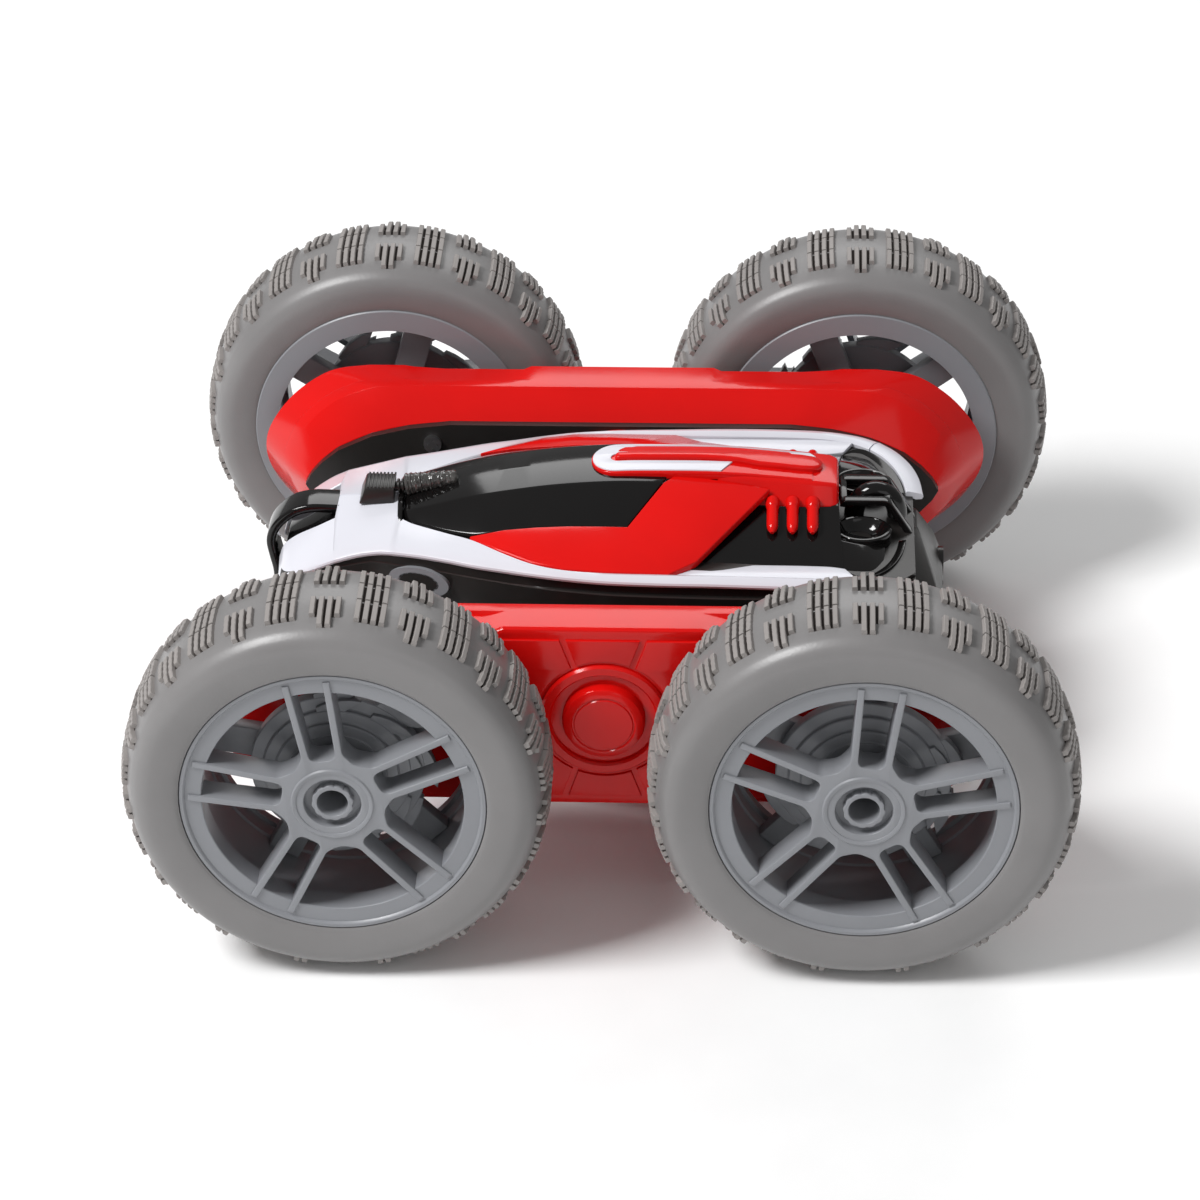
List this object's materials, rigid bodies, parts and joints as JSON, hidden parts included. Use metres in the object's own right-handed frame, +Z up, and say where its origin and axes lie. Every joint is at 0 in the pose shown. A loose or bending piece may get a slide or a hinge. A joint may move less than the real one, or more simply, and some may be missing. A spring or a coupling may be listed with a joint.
{
  "type": "remote control stunt car",
  "caption": "Double-sided remote control stunt car with two swinging side arms, geared grey wheels and a red, white and black body.",
  "frame": {"origin": "on the ground under the middle of the car, with all four tyres standing on it", "axes": "-X is the nose, +X the rear, -Y the car's left side, +Z up"},
  "size_m": [0.173, 0.156, 0.078],
  "materials": {
    "red_gloss": "glossy moulded ABS",
    "white_gloss": "glossy moulded ABS",
    "black_gloss": "polished black ABS",
    "black_plastic": "satin black ABS",
    "wheel_plastic": "satin grey ABS",
    "tyre_rubber": "soft grey rubber",
    "nylon": "natural nylon",
    "steel": "bright steel",
    "motor_can": "plated metal can",
    "socket_metal": "nickel plated",
    "battery_wrap": "plastic wrapped cells",
    "board": "fibreglass board with parts"
  },
  "bodies": {
    "chassis": {"upper_chassis": "black_plastic", "lower_chassis": "black_plastic", "upper_shell": "white_gloss", "lower_shell": "white_gloss", "upper_canopy": "black_gloss", "lower_canopy": "black_gloss", "upper_side_panels": "red_gloss", "lower_side_panels": "red_gloss", "upper_spoiler": "red_gloss", "lower_spoiler": "red_gloss", "spoiler_stripes": "white_gloss", "exhaust_pipes": "red_gloss", "upper_engine": "black_plastic", "lower_engine": "black_plastic", "nose_guard": "black_gloss", "winches": "black_plastic", "rear_bumper": "black_plastic", "battery_pack": "battery_wrap", "circuit_board": "board", "left_motor": "motor_can", "right_motor": "motor_can", "charge_socket": "socket_metal", "case_screws": "steel", "pivot_tubes": "black_plastic", "pivot_clips": "steel"},
    "power_switch": {"power_switch": "white_gloss"},
    "left_arm": {"left_arm_cover": "red_gloss", "left_arm_base": "black_plastic", "left_hub_collar": "red_gloss", "left_arm_screws": "steel"},
    "left_drive_gear": {"left_drive_gear": "nylon"},
    "left_front_idler": {"left_front_idler": "nylon"},
    "left_rear_idler": {"left_rear_idler": "nylon"},
    "right_arm": {"right_arm_cover": "red_gloss", "right_arm_base": "black_plastic", "right_hub_collar": "red_gloss", "right_arm_screws": "steel"},
    "right_drive_gear": {"right_drive_gear": "nylon"},
    "right_front_idler": {"right_front_idler": "nylon"},
    "right_rear_idler": {"right_rear_idler": "nylon"},
    "front_left_wheel": {"front_left_tyre": "tyre_rubber", "front_left_rim": "wheel_plastic", "front_left_spinner": "wheel_plastic", "front_left_axle": "steel", "front_left_gear": "nylon"},
    "rear_left_wheel": {"rear_left_tyre": "tyre_rubber", "rear_left_rim": "wheel_plastic", "rear_left_spinner": "wheel_plastic", "rear_left_axle": "steel", "rear_left_gear": "nylon"},
    "front_right_wheel": {"front_right_tyre": "tyre_rubber", "front_right_rim": "wheel_plastic", "front_right_spinner": "wheel_plastic", "front_right_axle": "steel", "front_right_gear": "nylon"},
    "rear_right_wheel": {"rear_right_tyre": "tyre_rubber", "rear_right_rim": "wheel_plastic", "rear_right_spinner": "wheel_plastic", "rear_right_axle": "steel", "rear_right_gear": "nylon"}
  },
  "joints": [
    {"name": "left_arm_swing", "type": "hinge", "parent": "chassis", "child": "left_arm", "pos_m": [0, 0, 0.039], "axis": [0, 1, 0], "continuous": true},
    {"name": "front_left_wheel_spin", "type": "hinge", "parent": "left_arm", "child": "front_left_wheel", "pos_m": [-0.0475, 0, 0.039], "axis": [0, 1, 0], "continuous": true},
    {"name": "rear_left_wheel_spin", "type": "hinge", "parent": "left_arm", "child": "rear_left_wheel", "pos_m": [0.0475, 0, 0.039], "axis": [0, 1, 0], "continuous": true},
    {"name": "left_front_idler_spin", "type": "hinge", "parent": "left_arm", "child": "left_front_idler", "pos_m": [-0.025, 0, 0.039], "axis": [0, 1, 0], "continuous": true},
    {"name": "left_drive_gear_spin", "type": "hinge", "parent": "left_arm", "child": "left_drive_gear", "pos_m": [0, 0, 0.039], "axis": [0, 1, 0], "continuous": true},
    {"name": "left_rear_idler_spin", "type": "hinge", "parent": "left_arm", "child": "left_rear_idler", "pos_m": [0.025, 0, 0.039], "axis": [0, 1, 0], "continuous": true},
    {"name": "right_arm_swing", "type": "hinge", "parent": "chassis", "child": "right_arm", "pos_m": [0, 0, 0.039], "axis": [0, 1, 0], "continuous": true},
    {"name": "front_right_wheel_spin", "type": "hinge", "parent": "right_arm", "child": "front_right_wheel", "pos_m": [-0.0475, 0, 0.039], "axis": [0, 1, 0], "continuous": true},
    {"name": "rear_right_wheel_spin", "type": "hinge", "parent": "right_arm", "child": "rear_right_wheel", "pos_m": [0.0475, 0, 0.039], "axis": [0, 1, 0], "continuous": true},
    {"name": "right_front_idler_spin", "type": "hinge", "parent": "right_arm", "child": "right_front_idler", "pos_m": [-0.025, 0, 0.039], "axis": [0, 1, 0], "continuous": true},
    {"name": "right_drive_gear_spin", "type": "hinge", "parent": "right_arm", "child": "right_drive_gear", "pos_m": [0, 0, 0.039], "axis": [0, 1, 0], "continuous": true},
    {"name": "right_rear_idler_spin", "type": "hinge", "parent": "right_arm", "child": "right_rear_idler", "pos_m": [0.025, 0, 0.039], "axis": [0, 1, 0], "continuous": true},
    {"name": "power_switch_slide", "type": "slide", "parent": "chassis", "child": "power_switch", "axis": [0, 1, 0], "range_m": [0, 0.0024]}
  ],
  "couplings": [
    {"joint": "rear_left_wheel_spin", "follows": "front_left_wheel_spin", "ratio": 1},
    {"joint": "left_front_idler_spin", "follows": "front_left_wheel_spin", "ratio": -0.8},
    {"joint": "left_drive_gear_spin", "follows": "front_left_wheel_spin", "ratio": 0.8},
    {"joint": "left_rear_idler_spin", "follows": "front_left_wheel_spin", "ratio": -0.8},
    {"joint": "rear_right_wheel_spin", "follows": "front_right_wheel_spin", "ratio": 1},
    {"joint": "right_front_idler_spin", "follows": "front_right_wheel_spin", "ratio": -0.8},
    {"joint": "right_drive_gear_spin", "follows": "front_right_wheel_spin", "ratio": 0.8},
    {"joint": "right_rear_idler_spin", "follows": "front_right_wheel_spin", "ratio": -0.8}
  ]
}
